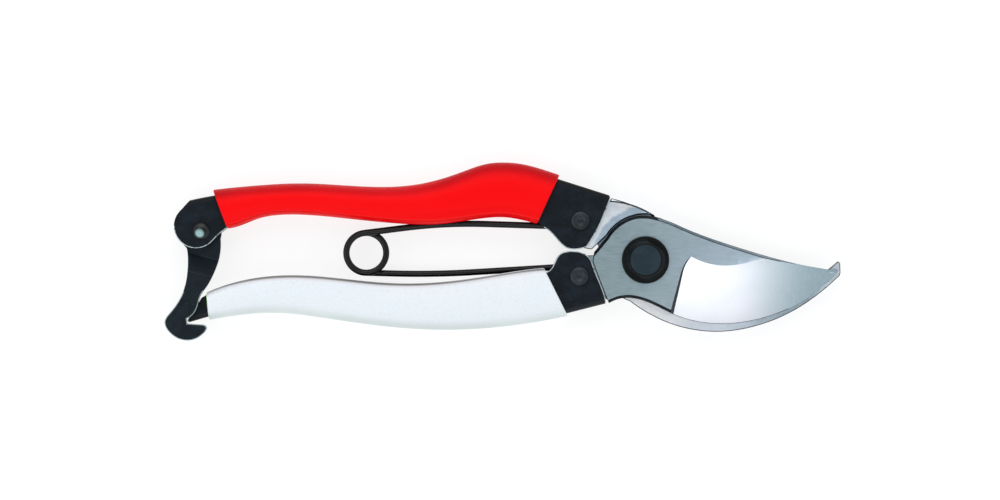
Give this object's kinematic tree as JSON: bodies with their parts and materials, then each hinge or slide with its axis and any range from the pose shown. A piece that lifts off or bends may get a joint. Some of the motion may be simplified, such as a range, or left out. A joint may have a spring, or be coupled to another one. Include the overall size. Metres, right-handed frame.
{
  "type": "bypass pruner",
  "caption": "Hand bypass pruner with a curved cutting blade, a hooked counter jaw, sleeved folded-steel handles, a coiled wire spring and a swinging catch.",
  "frame": {"origin": "pivot axis of the blades, in the plane that the closed tool rests on when it lies flat", "axes": "+X along the tool to the blade tips, +Y across to the upper (red) handle, +Z away from the resting plane"},
  "size_m": [0.2001, 0.0527, 0.013],
  "materials": {
    "blade_steel": "ground",
    "jaw_steel": "ground",
    "black_steel_upper": "semi-gloss",
    "black_steel_lower": "semi-gloss",
    "red_vinyl": "satin",
    "white_vinyl": "satin",
    "bolt_black": "semi-gloss",
    "washer_steel": "plain",
    "nut_black": "semi-gloss",
    "rivet_black": "semi-gloss",
    "rivet_steel": "plain",
    "spring_wire": "semi-gloss",
    "catch_black": "semi-gloss",
    "catch_rivet_black": "gloss"
  },
  "bodies": {
    "upper_half": {"counter_blade": "jaw_steel", "upper_handle_channel": "black_steel_upper", "upper_grip_sleeve": "red_vinyl", "pivot_bolt": "bolt_black", "pivot_washer": "washer_steel", "pivot_lock_nut": "nut_black", "upper_tang_rivet": "rivet_black", "upper_tail_rivet": "rivet_steel", "catch_rivet": "catch_rivet_black", "catch_spacer": "washer_steel", "catch_wave_washer": "washer_steel"},
    "lower_half": {"cutting_blade": "blade_steel", "lower_handle_channel": "black_steel_lower", "lower_grip_sleeve": "white_vinyl", "lower_tang_rivet": "rivet_black", "lower_tail_rivet": "rivet_steel"},
    "spring_upper_half": {"spring_upper": "spring_wire"},
    "spring_lower_half": {"spring_lower": "spring_wire"},
    "catch": {"catch_plate": "catch_black"}
  },
  "joints": [
    {"name": "pivot", "type": "hinge", "parent": "upper_half", "child": "lower_half", "pos_m": [0, 0, 0.0064], "axis": [0, 0, 1], "range_deg": [0, 25]},
    {"name": "spring_anchor", "type": "hinge", "parent": "upper_half", "child": "spring_upper_half", "pos_m": [-0.0265, 0.01, 0.0064], "axis": [0, 0, 1], "range_deg": [0, 13]},
    {"name": "spring_coil", "type": "hinge", "parent": "spring_upper_half", "child": "spring_lower_half", "pos_m": [-0.0827, 0.0021, 0.0064], "axis": [0, 0, 1], "range_deg": [-12, 0]},
    {"name": "catch_swing", "type": "hinge", "parent": "upper_half", "child": "catch", "pos_m": [-0.1315, 0.0085, 0.0064], "axis": [0, 0, -1], "range_deg": [-3.5, 115]}
  ],
  "couplings": [
    {"joint": "spring_anchor", "follows": "pivot", "ratio": 0.5082},
    {"joint": "spring_coil", "follows": "pivot", "ratio": -0.4442}
  ]
}
